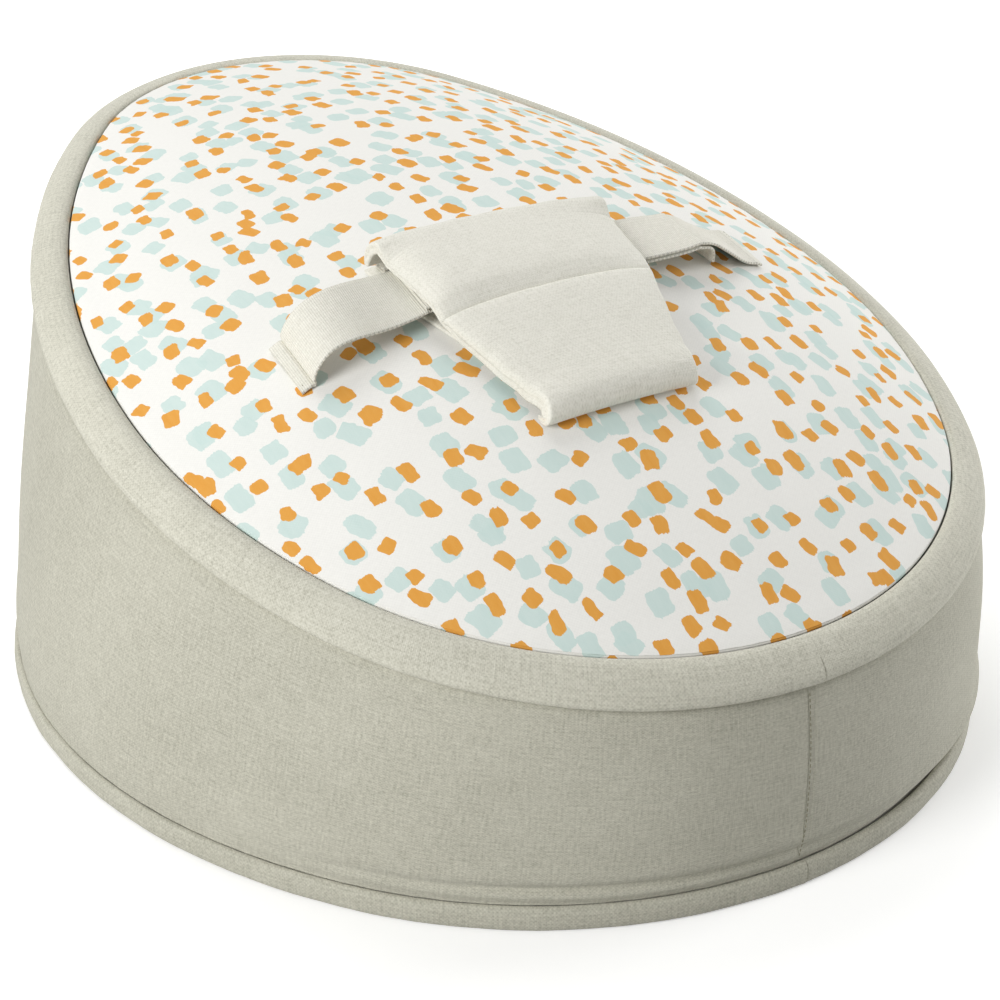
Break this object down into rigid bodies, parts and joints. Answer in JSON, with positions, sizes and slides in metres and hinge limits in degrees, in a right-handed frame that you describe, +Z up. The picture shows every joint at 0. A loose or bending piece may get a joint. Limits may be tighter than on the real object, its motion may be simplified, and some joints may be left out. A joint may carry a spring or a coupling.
{
  "type": "baby beanbag",
  "caption": "egg-shaped infant beanbag seat with a sloping crowned seat, rim band, padded crotch panel and webbing belt with a side-release buckle",
  "frame": {"origin": "on the floor, under the middle of the bag's length and width", "axes": "+Z up, +Y towards the high head end, -Y towards the low foot end, +X across to the side that the adjustable strap is on"},
  "size_m": [0.5266, 0.6163, 0.2738],
  "materials": {
    "wall_canvas": "grey-beige cotton canvas, matt, fine plain weave",
    "rim_canvas": "grey-beige cotton canvas turned over the rim, matt",
    "printed_cotton": "white cotton with orange and mint dabs, matt",
    "webbing": "cream woven webbing with fine ribs, matt",
    "pad_canvas": "cream cotton canvas over wadding, matt",
    "liner_cloth": "thin white polyester lining",
    "zip_tape": "woven polyester zip tape",
    "zip_teeth": "moulded coil teeth",
    "slider_metal": "grey zinc slider without a pull",
    "buckle_plastic": "pale lilac-grey moulded acetal, satin",
    "polystyrene_beads": "loose expanded polystyrene beads, stated as one solid",
    "touch_strip": "cream touch-and-close tape"
  },
  "bodies": {
    "bag": {"base_panel": "wall_canvas", "base_band": "wall_canvas", "wall_left": "wall_canvas", "wall_right": "wall_canvas", "rim_band": "rim_canvas", "zip_tape_outer": "zip_tape", "zip_teeth_outer": "zip_teeth", "liner_tub": "liner_cloth", "liner_top": "liner_cloth", "liner_zip": "zip_tape", "bead_fill": "polystyrene_beads"},
    "slider": {"zip_slider": "slider_metal"},
    "cover": {"seat_cover": "printed_cotton", "zip_tape_inner": "zip_tape", "zip_teeth_inner": "zip_teeth", "strap_left": "webbing", "strap_right": "webbing", "strap_tail": "webbing", "buckle_female": "buckle_plastic", "crotch_base": "pad_canvas", "loop_patch": "touch_strip"},
    "buckle": {"buckle_male": "buckle_plastic"},
    "rear_prong": {"prong_rear": "buckle_plastic"},
    "front_prong": {"prong_front": "buckle_plastic"},
    "lower_pad": {"pad_lower": "pad_canvas"},
    "upper_pad": {"pad_upper": "pad_canvas", "hook_patch": "touch_strip"}
  },
  "joints": [
    {"name": "cover_lift", "type": "slide", "parent": "bag", "child": "cover", "axis": [0, -0.2381, 0.9713], "range_m": [0, 0.2]},
    {"name": "zip_travel", "type": "hinge", "parent": "bag", "child": "slider", "pos_m": [0, 0.14299, 0.22953], "axis": [0, -0.2381, 0.9713], "range_deg": [0, 96]},
    {"name": "buckle_release", "type": "slide", "parent": "cover", "child": "buckle", "axis": [1, 0, 0], "range_m": [0, 0.025], "deforming": ["prong_rear", "prong_front"]},
    {"name": "prong_rear_press", "type": "hinge", "parent": "buckle", "child": "rear_prong", "pos_m": [-0.0274, -0.06102, 0.24817], "axis": [0, -0.2652, 0.9642], "range_deg": [0, 8], "stiffness_Nm_per_rad": 0.02},
    {"name": "prong_front_press", "type": "hinge", "parent": "buckle", "child": "front_prong", "pos_m": [-0.0274, -0.08705, 0.24101], "axis": [0, 0.2652, -0.9642], "range_deg": [0, 8], "stiffness_Nm_per_rad": 0.02},
    {"name": "pad_lift", "type": "hinge", "parent": "cover", "child": "lower_pad", "pos_m": [-0.0175, -0.16541, 0.20727], "axis": [1, 0, 0], "range_deg": [0, 100]},
    {"name": "flap_open", "type": "hinge", "parent": "lower_pad", "child": "upper_pad", "pos_m": [-0.0175, -0.10636, 0.24335], "axis": [1, 0, 0], "range_deg": [0, 100]}
  ]
}
